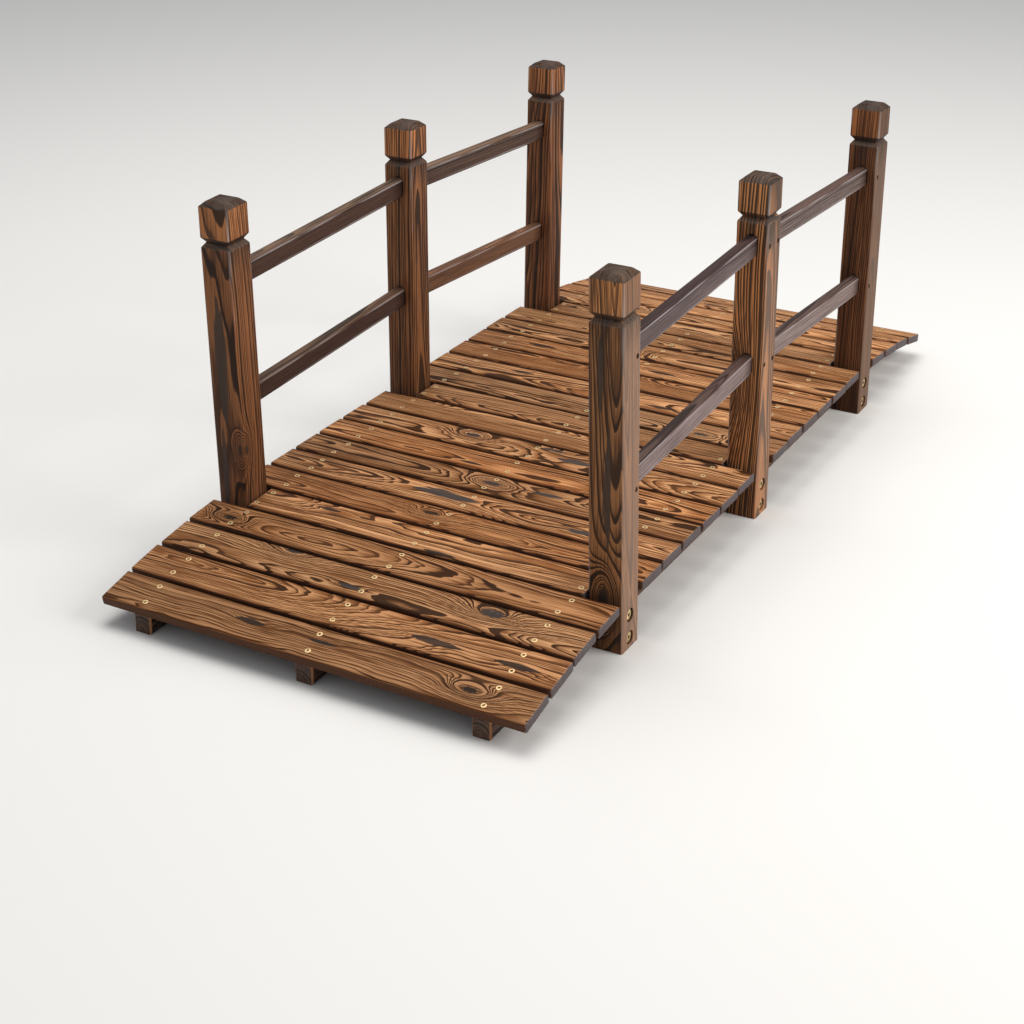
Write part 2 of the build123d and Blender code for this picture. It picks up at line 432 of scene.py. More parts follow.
plank_rows = 23
post_rows = {"near": 5, "middle": 12, "far": 19}
middle_row = post_rows["middle"]
plank_length = 0.660
short_plank_length = 0.548
plank_width = 0.060
plank_thickness = 0.014
plank_pitch = 0.066
plank_edge_radius = 0.003
plank_underside_bevel = 0.002
plank_end_bevel = 0.0012
plank_smoothing = radians(35)
most_shortening = 0.0016
flat_half_length = 0.400
end_arc_radius = 1.500
deck_top = stringer_depth + plank_thickness
dice = Random(7)

# places nearer than this to each other are the same
touching = 1e-5

plank_oil = {
    "pale": (0.645, 0.328, 0.151, 1),
    "warm": (0.250, 0.095, 0.030, 1),
    "late": (0.058, 0.024, 0.010, 1),
}
plank_gloss = 0.06
pale_rows = (5, 10, 14, 16)
pale_gain = 0.12
dark_rows = (1, 4, 6, 8, 12, 13, 15, 18)
dark_loss = 0.14
# painted shade: the rows before the first unshaded one are painted darker, the more the nearer the near
# end
first_unshaded_row = 5
painted_shade_per_row_before = 0.040
red_rows = (4, 6, 9, 15)
red_gain = 0.08
plain_rows = (1, 2, 4, 6, 15)
slate_rows = (3, 7, 8, 10, 13)
slate_soot = (0.050, 0.045, 0.044, 1)

# the knots and scorches of each row: across and along the board from its middle, and size
plank_knots = {
    1: [(-0.001, -0.236, 0.008)],
    3: [(0.012, -0.187, 0.012), (0.028, 0.139, 0.009)],
    4: [(-0.003, 0.276, 0.008)],
    6: [(0.008, 0.025, 0.009)],
    8: [(0.004, -0.003, 0.010)],
    10: [(0.010, 0.110, 0.009)],
    13: [(-0.012, -0.200, 0.008)],
    15: [(0.006, 0.020, 0.010)],
    17: [(-0.008, 0.060, 0.009)],
    20: [(0.004, 0.150, 0.009)],
}
plank_scorches = {
    1: [(0.004, 0.102, 0.007), (0.004, -0.014, 0.006)],
    2: [(-0.005, -0.150, 0.010), (-0.006, -0.270, 0.009)],
    3: [(-0.014, 0.020, 0.006)],
    5: [(-0.024, -0.047, 0.007), (0.014, 0.160, 0.006)],
    7: [(0.003, 0.038, 0.017), (-0.010, -0.190, 0.007)],
    8: [(0.009, -0.094, 0.008)],
    9: [(-0.014, 0.060, 0.006)],
    10: [(-0.002, -0.078, 0.011), (0.020, -0.028, 0.006)],
    12: [(0.006, -0.060, 0.009)],
    14: [(-0.012, -0.100, 0.007), (0.012, 0.170, 0.006)],
    16: [(0.004, 0.200, 0.008), (-0.010, -0.040, 0.007)],
    18: [(0.010, 0.080, 0.008)],
    20: [(-0.006, -0.120, 0.010)],
    22: [(0.004, 0.040, 0.008)],
}
border_shade = (0.50, 0.40, 0.32)
border_cloud_scale = (20, 4, 20)
border_cloud_reach = 0.008
border_edge = (0.0275, 0.0345)
scorched_side = (0.085, 0.038, 0.022, 1)
scorched_side_share = 0.9
plank_side_band = (0.0011, 0.0001)
plank_underside_edge = (-0.0014, -0.0030)
weathered_end = (0.100, 0.090, 0.098, 1)
rough_end_scale = (420, 420, 160)
rough_end_edge = (0.3, 0.6, 0.5, 1.0)
plank_end_band = (0.0009, 0.0002)
worn_rim = (0.380, 0.300, 0.240, 1)
worn_rim_share = 0.5
worn_rim_band = (0.0022, 0.0010)
worn_rim_edge = (0.42, 0.60)


def clear_selection(kind):
    """Leaves nothing of the active mesh selected, and says if edges or faces will be."""
    bpy.ops.object.mode_set(mode="EDIT")
    bpy.ops.mesh.select_mode(type=kind)
    bpy.ops.mesh.select_all(action="DESELECT")
    bpy.ops.object.mode_set(mode="OBJECT")


def select_edges(piece, test):
    """Selects the edges whose two ends pass a test, in edit mode."""
    clear_selection("EDGE")
    points = piece.data.vertices
    for edge in piece.data.edges:
        first, second = (points[i].co for i in edge.vertices)
        edge.select = bool(test(first, second))
    bpy.ops.object.mode_set(mode="EDIT")


def bevel_edges(piece, test, width, segments):
    """Bevels the edges of a piece that pass a test, and stays in edit mode."""
    select_edges(piece, test)
    bpy.ops.mesh.bevel(offset=width, segments=segments, affect="EDGES")


def start_piece(add, **options):
    """Adds a primitive with nothing else selected, and returns its object."""
    bpy.ops.object.select_all(action="DESELECT")
    add(**options)
    return bpy.context.object


def pick(piece):
    """Makes a piece the only one selected, and the active one."""
    bpy.ops.object.select_all(action="DESELECT")
    piece.select_set(True)
    bpy.context.view_layer.objects.active = piece


def apply_place(piece):
    """Puts a piece's place, turn and scale into its mesh."""
    pick(piece)
    bpy.ops.object.transform_apply(location=True, rotation=True, scale=True)


def add_box(size, middle=(0, 0, 0)):
    """A box of a size, with that size in its mesh."""
    box = start_piece(bpy.ops.mesh.primitive_cube_add, size=1.0, location=middle)
    box.scale = size
    apply_place(box)
    return box


def copy_piece(pattern, name):
    """A copy of a piece with its own mesh."""
    piece = pattern.copy()
    piece.data = pattern.data.copy()
    piece.name = piece.data.name = name
    bpy.context.scene.collection.objects.link(piece)
    return piece


def model_plank(length):
    """A board with its top face at Z 0, its grain along Y, and all of its edges eased."""
    middle = -plank_thickness / 2
    low = -plank_thickness + touching
    end = length / 2 - touching
    board = add_box((plank_width, length, plank_thickness), (0, 0, middle))
    bevel_edges(board, lambda a, b: a.x == b.x and a.z == b.z and a.z > middle, plank_edge_radius, 5)
    bevel_edges(board, lambda a, b: a.x == b.x and a.z == b.z and a.z < low, plank_underside_bevel, 2)
    bevel_edges(
        board, lambda a, b: abs(a.y) > end and abs(b.y) > end and a.y * b.y > 0, plank_end_bevel, 2
    )
    bpy.ops.object.mode_set(mode="OBJECT")
    bpy.ops.object.shade_smooth_by_angle(angle=plank_smoothing)
    return board


def deck_place(row):
    """The middle of a row on the deck's top face, and how far the board there is turned."""
    along = (row - middle_row) * plank_pitch
    way = 1 if along > 0 else -1
    past_flat = max(abs(along) - flat_half_length, 0.0)
    angle = past_flat / end_arc_radius
    x = way * (abs(along) - past_flat + end_arc_radius * sin(angle))
    z = deck_top - end_arc_radius * (1 - cos(angle))
    return Vector((x, 0, z)), way * angle


def tint(stain, factor):
    """A stain with its three colours made lighter or darker, red, green and blue apart."""
    return {key: tuple(c * f for c, f in zip(value, factor)) + (1,) for key, value in stain.items()}


def anywhere():
    """A random shift of the grain, so that no two pieces are cut from the same place."""
    return tuple(dice.uniform(-9, 9) for _ in range(3))


def oil_plank(row, centre, tilt, half_length):
    """One board's oiled wood, scorched along its sides and worn along the rims of its ends."""
    brightness = dice.uniform(0.88, 1.04)
    brightness += pale_gain * (row in pale_rows) - dark_loss * (row in dark_rows)
    # painted shade over the nearest rows
    brightness -= painted_shade_per_row_before * max(first_unshaded_row - row, 0)
    redness = dice.uniform(-0.04, 0.04) + red_gain * (row in red_rows)
    oiled, place = wood_material(
        f"plank_oil_{row:02d}",
        centre,
        (0, tilt, 0),
        tint(plank_oil, (brightness * (1 + redness), brightness, brightness * (1 - redness))),
        shift=anywhere(),
        heart=(dice.uniform(-0.024, 0.024), 0.0, dice.uniform(-0.040, -0.016)),
        slope=(dice.uniform(-0.015, 0.015), 0.0, dice.uniform(-0.04, 0.04)),
        ring=dice.uniform(0.0022, 0.0034),
        late_width=0.15,
        char=0.5 if row in plain_rows else 1.0,
        depth=0.50 if row in plain_rows else 0.80,
        knots=plank_knots.get(row, ()),
        scorches=plank_scorches.get(row, ()),
        soot=slate_soot if row in slate_rows else brown_soot,
        gloss=plank_gloss,
    )
    tree = oiled.node_tree
    parts = split(tree, place)
    cloud = grain_noise(tree, place, border_cloud_scale)
    across = reckon(tree, "ABSOLUTE", parts["X"])
    across = reckon(tree, "MULTIPLY_ADD", cloud, border_cloud_reach, across)
    shade(oiled, ramp(tree, across, *border_edge), border_shade)
    flanks = near_faces(tree, parts["X"], plank_width / 2, plank_side_band)
    flanks = reckon(tree, "MAXIMUM", flanks, ramp(tree, parts["Z"], *plank_underside_edge))
    paint_wear_and_light(oiled, product(tree, flanks, scorched_side_share), scorched_side)
    rough = grain_noise(tree, place, rough_end_scale, detail=3.0)
    ends = near_faces(tree, parts["Y"], half_length, plank_end_band)
    paint_wear_and_light(oiled, product(tree, ends, ramp(tree, rough, *rough_end_edge)), weathered_end)
    rims = near_faces(tree, parts["Y"], half_length, worn_rim_band)
    rims = product(tree, rims, ramp(tree, rough, *worn_rim_edge), all_but(tree, ends))
    paint_wear_and_light(oiled, product(tree, rims, worn_rim_share), worn_rim)
    return oiled


long_plank = model_plank(plank_length)
short_plank = model_plank(short_plank_length)
for row in range(1, plank_rows + 1):
    at_posts = row in post_rows.values()
    length = short_plank_length if at_posts else plank_length
    board = copy_piece(short_plank if at_posts else long_plank, f"board_{row:02d}")
    centre, tilt = deck_place(row)
    shortening = dice.uniform(0.0, most_shortening)
    board.scale = (1, 1 - 2 * shortening / length, 1)
    board.location = centre
    board.rotation_euler = (0, tilt, 0)
    apply_place(board)
    give_material(board, oil_plank(row, centre, tilt, length / 2 - shortening))
    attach(board, "root")
    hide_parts(f"plank_{row:02d}")
for pattern in (long_plank, short_plank):
    bpy.data.objects.remove(pattern)


# Deck screws
# Six countersunk screws hold each board, two to a stringer. They are dulled yellow zinc, driven
# flush, with a socket in the head painted near black, the painted shade of the recess.

deck_screw_radius = 0.0040
deck_screw_sides = 16
deck_screw_proud = 0.0004
deck_screw_sink = 0.0012
deck_screw_edge = 0.0006
deck_screw_crown = 0.0001
deck_screw_socket_radius = 0.0022
deck_screw_socket_depth = 0.0009
deck_screw_spacing = 0.034
deck_screw_slip = (0.0015, 0.003)
tarnish_scale = (260, 260, 260)
tarnish_edge = (0.48, 0.70)
tarnish_factor = 0.45
tarnish_roughness = 0.25
tarnish_roughness_edge = (0.3, 0.7)


def metal(name, colour, roughness, dirt):
    """Plated steel with a clouded finish, the less metallic the more dirt there is on it."""
    material, tree, surface = start_material(name)
    coordinates = tree.nodes.new("ShaderNodeTexCoord")
    clouds = grain_noise(tree, coordinates.outputs["Object"], tarnish_scale, detail=4.0)
    tarnished = tuple(c * tarnish_factor for c in colour[:3]) + (1,)
    plated = blend_colours(tree, ramp(tree, clouds, *tarnish_edge), colour, tarnished)
    rough = roughness + tarnish_roughness
    roughened = ramp(tree, clouds, *tarnish_roughness_edge, roughness, rough)
    tree.links.new(plated, surface.inputs["Base Color"])
    tree.links.new(roughened, surface.inputs["Roughness"])
    surface.inputs["Metallic"].default_value = 1.0 - dirt
    return material


dull_zinc = metal("dull_zinc", (0.84, 0.62, 0.32, 1), 0.36, 0.50)
# painted shade for recesses: screw sockets, and the heads at the bottom of rail-screw holes
painted_socket_shade = metal("painted_socket_shade", (0.030, 0.022, 0.016, 1), 0.70, 0.6)


def join_pieces(pieces, name):
    """Joins pieces into one object, with its place in its mesh."""
    bpy.ops.object.select_all(action="DESELECT")
    for piece in pieces:
        piece.select_set(True)
    bpy.context.view_layer.objects.active = pieces[0]
    bpy.ops.object.join()
    pieces[0].name = pieces[0].data.name = name
    apply_place(pieces[0])
    return pieces[0]


def select_top(piece):
    """Selects the faces of a piece that look up, in edit mode."""
    clear_selection("FACE")
    for face in piece.data.polygons:
        face.select = face.normal.z > 0.9
    bpy.ops.object.mode_set(mode="EDIT")


def model_deck_screw():
    """A screw's head about Z 0, the board's top face: a bevelled ring round a dark socket."""
    height = deck_screw_proud + deck_screw_sink
    screw = start_piece(
        bpy.ops.mesh.primitive_cylinder_add,
        vertices=deck_screw_sides,
        radius=deck_screw_radius,
        depth=height,
        location=(0, 0, deck_screw_proud - height / 2),
    )
    apply_place(screw)
    screw.data.materials.append(dull_zinc)
    screw.data.materials.append(painted_socket_shade)
    select_top(screw)
    bpy.ops.mesh.inset(thickness=deck_screw_edge)
    bpy.ops.transform.translate(value=(0, 0, deck_screw_crown))
    bpy.ops.mesh.inset(thickness=deck_screw_radius - deck_screw_edge - deck_screw_socket_radius)
    bpy.ops.mesh.extrude_region_move(TRANSFORM_OT_translate={"value": (0, 0, -deck_screw_socket_depth)})
    # the socket is painted near black: painted shade in the recess
    screw.active_material_index = 1
    bpy.ops.object.material_slot_assign()
    bpy.ops.object.mode_set(mode="OBJECT")
    return screw


screw_pattern = model_deck_screw()
screws = []
for row in range(1, plank_rows + 1):
    centre, tilt = deck_place(row)
    along_deck = Vector((cos(tilt), 0, -sin(tilt)))
    for y in (-stringer_middle_y, 0.0, stringer_middle_y):
        for way in (-1, 1):
            screw = copy_piece(screw_pattern, "screw")
            slip_x, slip_y = (dice.uniform(-slip, slip) for slip in deck_screw_slip)
            screw.location = centre + along_deck * (way * deck_screw_spacing / 2 + slip_x)
            screw.location.y = y + slip_y
            screw.rotation_euler = (0, tilt, 0)
            screws.append(screw)
deck_screws = join_pieces(screws, "deck_screws")
bpy.data.objects.remove(screw_pattern)
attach(deck_screws, "root")


# Rails
# Eight sloping softwood bars with rounded corners, let into slots in the posts and screwed there.
# The left ones are stained a dark brown and the right ones a paler greyed brown, which is painted
# light reflected onto them from beside the bridge. The right tops are painted darker, painted shade,
# and the left tops paler, a painted highlight from above. Their corners are rubbed pale, partly wear
# and partly a painted highlight, and painted shade darkens them where they enter the posts.

rail_height = 0.033
rail_thickness = 0.017
rail_slot_clearance = 0.0015
rail_slot_depth = 0.018
upper_rail_at_end_post = 0.334
upper_rail_at_middle_post = 0.353
lower_rail_at_end_post = 0.145
lower_rail_at_middle_post = 0.168
rail_levels = {
    "upper": (upper_rail_at_end_post, upper_rail_at_middle_post),
    "lower": (lower_rail_at_end_post, lower_rail_at_middle_post),
}
# the right stain is painted paler and greyer than the left: painted light reflected onto the right rails
rail_stains_and_side_light = {
    "right": {
        "pale": (0.230, 0.175, 0.168, 1),
        "warm": (0.120, 0.084, 0.077, 1),
        "late": (0.036, 0.024, 0.024, 1),
    },
    "left": {
        "pale": (0.092, 0.044, 0.026, 1),
        "warm": (0.046, 0.022, 0.013, 1),
        "late": (0.013, 0.009, 0.007, 1),
    },
}
rail_gloss = 0.20

# how far each rail is lighter or darker than its side's stain, and how far its top is painted
# lighter or darker than the rest of it: a painted highlight on the left tops, painted shade on the right
rail_tones_and_top_light = {
    ("upper", "near", "left"): ((0.90, 0.90, 0.98), (2.00, 2.40, 2.30)),
    ("lower", "near", "left"): ((0.88, 0.92, 1.04), (2.00, 2.10, 1.80)),
    ("upper", "far", "left"): ((1.14, 1.26, 1.40), (1.90, 2.10, 2.00)),
    ("lower", "far", "left"): ((2.20, 2.05, 1.70), (1.25, 1.30, 1.40)),
    ("upper", "near", "right"): ((0.72, 0.69, 0.71), (0.40, 0.30, 0.27)),
    ("lower", "near", "right"): ((1.22, 1.19, 1.18), (0.36, 0.28, 0.24)),
    ("upper", "far", "right"): ((0.78, 0.72, 0.66), (0.60, 0.50, 0.45)),
    ("lower", "far", "right"): ((1.12, 1.08, 1.03), (0.50, 0.42, 0.38)),
}
painted_top_edge = (rail_height / 2 - 0.0048, rail_height / 2 - 0.0018)
# painted shade near the posts, where each rail runs into its slot
rail_end_painted_shade_band = (0.060, 0.022)
rail_end_painted_shade = (0.45, 0.40, 0.36)
# pale rubbed corners: partly wear, partly a painted highlight along their rounding
rubbed_and_lit_corner = (0.330, 0.290, 0.290, 1)
rubbed_and_lit_corner_share = 0.75
rubbed_and_lit_corner_scale = (90, 9, 90)
rubbed_and_lit_corner_edge = (0.38, 0.60)
corner_start_band = (0.0062, 0.0040)
corner_stop_band = (0.0024, 0.0036)
corner_face_band = (0.0022, 0.0010)

post_width = 0.050
post_lean = radians(1.8)
post_y = 0.303
sides = {"left": 1, "right": -1}


def post_place(position):
    """The point of a post's axis on the ground, the post's lean, and its own upward way."""
    lean = {"near": -post_lean, "middle": 0.0, "far": post_lean}[position]
    top, _ = deck_place(post_rows[position])
    up = Vector((sin(lean), 0, cos(lean)))
    return top - up * (top.z / up.z), lean, up


def rail_ends(position, level, way):
    """The two points where a rail's axis meets the axes of its end post and middle post."""
    at_end, at_middle = rail_levels[level]
    foot, _, up = post_place(position)
    start = foot + up * ((deck_top + at_end) / up.z)
    stop = Vector((0.0, 0.0, deck_top + at_middle))
    start.y = stop.y = way * post_y
    return start, stop


def stain_rail(level, position, side):
    """One rail's stained wood: painted light and shade on its top, painted shade where it enters the
    posts, and corners rubbed pale, partly a painted highlight.
    """
    start, stop = rail_ends(position, level, sides[side])
    run = stop - start
    rise = atan2(run.z, run.x) if position == "near" else atan2(-run.z, -run.x)
    tone, top_light_and_shade = rail_tones_and_top_light[level, position, side]
    stained, place = wood_material(
        f"rail_stain_{level}_{position}_{side}",
        (start + stop) / 2,
        (rise, 0, -quarter_turn),
        tint(rail_stains_and_side_light[side], tone),
        shift=anywhere(),
        heart=(dice.uniform(-0.010, 0.010), 0.0, dice.uniform(0.040, 0.060)),
        slope=(dice.uniform(-0.02, 0.02), 0.0, dice.uniform(-0.02, 0.02)),
        ring=0.0030,
        sway=0.40,
        char=0.5,
        depth=0.25,
        gloss=rail_gloss,
    )
    tree = stained.node_tree
    parts = split(tree, place)
    # painted light and shade on the top face: a painted highlight on the left rails, painted shade on the
    # right
    shade(stained, ramp(tree, parts["Z"], *painted_top_edge), top_light_and_shade)
    # painted shade where the rail enters the post
    shade(stained, near_faces(tree, parts["Y"], run.length / 2, rail_end_painted_shade_band), rail_end_painted_shade)
    # pale corners, partly rubbed and partly a painted highlight
    rubbed_and_lit_corners = product(
        tree,
        near_faces(tree, parts["Z"], rail_height / 2, corner_start_band),
        near_faces(tree, parts["Z"], rail_height / 2, corner_stop_band),
        near_faces(tree, parts["X"], rail_thickness / 2, corner_face_band),
        ramp(tree, grain_noise(tree, place, rubbed_and_lit_corner_scale), *rubbed_and_lit_corner_edge),
        rubbed_and_lit_corner_share,
    )
    paint_wear_and_light(stained, rubbed_and_lit_corners, rubbed_and_lit_corner)
    return stained


for side in sides:
    for level in rail_levels:
        for position in ("near", "far"):
            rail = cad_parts[f"rail_{level}_{position}_{side}"]
            give_material(rail, stain_rail(level, position, side))


# Posts
# Six square softwood posts. A V groove runs round each under its cap block, which ends in a blunt
# pyramid. Slots take the rails, and each is bolted to a stringer. Scorched and oiled.

groove_bottom = 0.469
groove_middle = 0.4765
groove_top = 0.484
groove_edge_bevel = 0.0008
cap_rim = 0.529
cap_rim_bevel = 0.0008
cap_top = 0.537
cap_top_bevel = 0.0022
groove_half_width = 0.019
cap_top_half_width = 0.016
post_edge_bevel = 0.003
post_smoothing = radians(30)
post_foot_below_ground = 0.050
post_outer_y = post_y + post_width / 2
slot_rounding = 0.49
rail_screw_hole_radius = 0.004
rail_screw_hole_depth = 0.005
bolt_recess_radius = 0.010
bolt_recess_depth = 0.006
bolt_hole_radius = 0.00425
bolt_heights = (0.049, 0.015)
rail_screw_seat_y = post_outer_y - rail_screw_hole_depth
bolt_seat_y = post_outer_y - bolt_recess_depth
hole_overrun = 0.001
hole_mouth_y = post_outer_y + hole_overrun
hole_exit_y = post_outer_y - post_width - hole_overrun
wide_bar_sides = 32
narrow_bar_sides = 20

post_brown = {
    "pale": (0.540, 0.242, 0.100, 1),
    "warm": (0.195, 0.084, 0.038, 1),
    "late": (0.068, 0.037, 0.022, 1),
}
post_soot = (0.062, 0.042, 0.032, 1)
post_gloss = 0.14

# tone, block and outer make a whole post, its cap block and its outer face lighter or darker,
# the outer face's tone being painted light and shade; the share of painted reflected light pales
# that face, and foot holds the heights where the dark below the deck begins and is full, partly
# painted shade of the deck and partly a sootier foot
usual_timber = {
    "block": (1.90, 1.85, 1.70),
    "outer": (1.0, 1.0, 1.0),
    "reflected_light_share": 0.45,
    "foot": (0.078, 0.048),
    "late_width": 0.16,
    "depth": 0.60,
    "knots": [],
    "scorches": [],
}
post_timbers = {
    ("near", "left"): {
        "tone": (0.50, 0.45, 0.43),
        "block": (1.65, 1.65, 1.55),
        "heart": (0.004, 0.0, -0.055),
        "slope": (0.0, 0.0, 0.016),
        "ring": 0.0052,
        "late_width": 0.14,
        "knots": [(0.038, 0.165, 0.0048)],
        "scorches": [(-0.003, 0.310, 0.012), (-0.010, 0.120, 0.008)],
    },
    ("middle", "left"): {
        "tone": (0.57, 0.52, 0.49),
        "heart": (0.046, 0.0, 0.004),
        "slope": (0.020, 0.0, 0.0),
        "ring": 0.0042,
        "late_width": 0.26,
    },
    ("far", "left"): {
        "tone": (0.51, 0.44, 0.41),
        "block": (1.50, 1.50, 1.45),
        "heart": (-0.030, 0.0, -0.030),
        "slope": (0.0, 0.0, 0.020),
        "ring": 0.0046,
    },
    ("near", "right"): {
        "tone": (0.60, 0.59, 0.55),
        "foot": (0.115, 0.070),
        "heart": (0.009, 0.0, -0.006),
        "slope": (0.0, 0.0, 0.057),
        "ring": 0.0043,
        "knots": [(-0.004, 0.078, 0.013)],
        "scorches": [(0.003, 0.235, 0.009), (-0.007, 0.405, 0.006)],
    },
    ("middle", "right"): {
        "tone": (1.10, 1.00, 0.86),
        "block": (1.05, 1.12, 1.20),
        "outer": (0.78, 0.79, 0.80),
        "reflected_light_share": 0.34,
        "heart": (0.075, 0.0, 0.020),
        "slope": (0.030, 0.0, 0.0),
        "ring": 0.0054,
        "late_width": 0.42,
        "depth": 1.10,
        "knots": [(-0.060, 0.215, 0.016)],
    },
    ("far", "right"): {
        "tone": (0.36, 0.31, 0.29),
        "outer": (0.68, 0.64, 0.58),
        "heart": (0.070, 0.0, 0.005),
        "slope": (0.020, 0.0, 0.0),
        "ring": 0.0034,
        "late_width": 0.26,
    },
}
block_edge = (groove_top - 0.001, groove_top + 0.001)
# painted shade that tones down the cap block's outer face
painted_block_outer_shade = (0.62, 0.60, 0.58)
outer_face_edge = (post_width / 2 - 0.0022, post_width / 2 - 0.0008)
# painted reflected light: the outer face painted paler and greyer
painted_reflected_light = (0.340, 0.225, 0.165, 1)
# below deck level: partly painted shade of the deck, partly a sootier foot
foot_soot_and_shade = (0.58, 0.56, 0.56)
# pale arrises: partly wear, partly a painted highlight along the rounded edges
rubbed_and_lit_arris = (0.400, 0.360, 0.350, 1)
rubbed_and_lit_arris_share = 0.5
rubbed_and_lit_arris_scale = (60, 7, 60)
rubbed_and_lit_arris_edge = (0.40, 0.60)
arris_band = (0.0034, 0.0024)
# soot in streaks below the groove, and painted shade on its upper slope under the cap block
groove_soot_and_shade = (0.024, 0.017, 0.015, 1)
groove_soot_and_shade_share = 0.65
upper_slope_start = (groove_middle - 0.0030, groove_middle + 0.0005)
upper_slope_end = (groove_middle + 0.0092, groove_middle + 0.0070)
streak_scale = (160, 10, 160)
streak_edge = (0.30, 0.66)
streak_rise = (groove_bottom - 0.050, groove_bottom + 0.002)
end_grain = (0.105, 0.084, 0.072, 1)
lower_slope_share = 0.48
lower_slope_start = (groove_middle - 0.0088, groove_middle - 0.0070)
lower_slope_end = (groove_middle, groove_middle - 0.0020)
cap_shade = (0.21, 0.24, 0.31)
cap_edge = (cap_rim - 0.0006, cap_rim + 0.0008)
cap_patch_scale = (45, 45, 45)
cap_patch_edge = (0.35, 0.65, 0.05, 0.40)


def cut_across(height, scale):
    """In edit mode, adds a loop round the post at a height and draws it in to a scale."""
    bpy.ops.mesh.select_all(action="SELECT")
    bpy.ops.mesh.bisect(plane_co=(0, 0, height), plane_no=(0, 0, 1))
    if scale != 1.0:
        bpy.ops.transform.resize(value=(scale, scale, 1), center_override=(0, 0, height))


def model_post():
    """A post upright on its axis: eased long edges, V groove, cap block and blunt pyramid."""
    height = cap_top + post_foot_below_ground
    middle = (cap_top - post_foot_below_ground) / 2
    post = add_box((post_width, post_width, height), (0, 0, middle))
    bevel_edges(post, lambda a, b: a.x == b.x and a.y == b.y, post_edge_bevel, 3)
    cut_across(groove_bottom, 1.0)
    cut_across(groove_top, 1.0)
    cut_across(groove_middle, groove_half_width * 2 / post_width)
    cut_across(cap_rim, 1.0)
    bpy.ops.object.mode_set(mode="OBJECT")
    select_top(post)
    scale = cap_top_half_width * 2 / post_width
    bpy.ops.transform.resize(value=(scale, scale, 1), center_override=(0, 0, cap_top))
    for level, width in (
        (cap_rim, cap_rim_bevel),
        (cap_top, cap_top_bevel),
        (groove_bottom, groove_edge_bevel),
        (groove_top, groove_edge_bevel),
    ):
        bevel_edges(
            post, lambda a, b: abs(a.z - level) < touching and abs(b.z - level) < touching, width, 2
        )
    bpy.ops.object.mode_set(mode="OBJECT")
    return post


def carve(piece, tool, operation="DIFFERENCE"):
    """Cuts a tool's shape out of a piece, or keeps only what lies inside it. Removes the tool."""
    cut = piece.modifiers.new("cut", "BOOLEAN")
    cut.operation = operation
    cut.solver = "EXACT"
    cut.object = tool
    pick(piece)
    bpy.ops.object.modifier_apply(modifier="cut")
    bpy.data.objects.remove(tool)


def model_slot_tool(start, stop):
    """A bar with round long edges along a rail, a little larger than the rail itself."""
    run = stop - start
    inset = post_width / 2 - rail_slot_depth
    width = rail_thickness + 2 * rail_slot_clearance
    height = rail_height + 2 * rail_slot_clearance
    tool = add_box((run.length - 2 * inset, width, height))
    bevel_edges(tool, lambda a, b: a.y == b.y and a.z == b.z, width * slot_rounding, 8)
    bpy.ops.object.mode_set(mode="OBJECT")
    tool.location = (start + stop) / 2
    tool.rotation_euler = (0, -atan2(run.z, run.x), 0)
    apply_place(tool)
    return tool


def add_bar(point, way, radius, inner, outer, bar_sides=wide_bar_sides):
    """A round bar across the bridge at a point, between two distances from its middle line."""
    return start_piece(
        bpy.ops.mesh.primitive_cylinder_add,
        vertices=bar_sides,
        radius=radius,
        depth=outer - inner,
        location=(point.x, way * (inner + outer) / 2, point.z),
        rotation=(quarter_turn, 0, 0),
    )


def spans_at(position):
    """The spans of the bridge whose rails meet a post."""
    return ("near", "far") if position == "middle" else (position,)


def rail_screw_points(position, way):
    """Where the rail screws cross a post, halfway along the ends of the rails inside it."""
    end_middle = (post_width - rail_slot_depth) / 2
    points = []
    for span in spans_at(position):
        for level in rail_levels:
            start, stop = rail_ends(span, level, way)
            inwards = (stop - start).normalized() * end_middle
            points.append(stop - inwards if position == "middle" else start + inwards)
    return points


def bolt_points(position):
    """Where the two bolts of a post cross its axis."""
    foot, _, up = post_place(position)
    return [foot + up * (height / up.z) for height in bolt_heights]


def cut_post(post, position, way):
    """Cuts a post off at the ground, and cuts the rails' slots and the holes of its fixings."""
    bpy.ops.object.mode_set(mode="EDIT")
    bpy.ops.mesh.select_all(action="SELECT")
    bpy.ops.mesh.bisect(plane_co=(0, 0, 0), plane_no=(0, 0, 1), clear_inner=True, use_fill=True)
    bpy.ops.object.mode_set(mode="OBJECT")
    tools = []
    for span in spans_at(position):
        for level in rail_levels:
            tools.append(model_slot_tool(*rail_ends(span, level, way)))
    for point in rail_screw_points(position, way):
        reach = (rail_screw_seat_y, hole_mouth_y)
        tools.append(add_bar(point, way, rail_screw_hole_radius, *reach, narrow_bar_sides))
    for point in bolt_points(position):
        tools.append(add_bar(point, way, bolt_recess_radius, bolt_seat_y, hole_mouth_y))
        reach = (hole_exit_y, hole_mouth_y)
        tools.append(add_bar(point, way, bolt_hole_radius, *reach, narrow_bar_sides))
    for tool in tools:
        carve(post, tool)
    pick(post)
    bpy.ops.object.shade_smooth_by_angle(angle=post_smoothing)


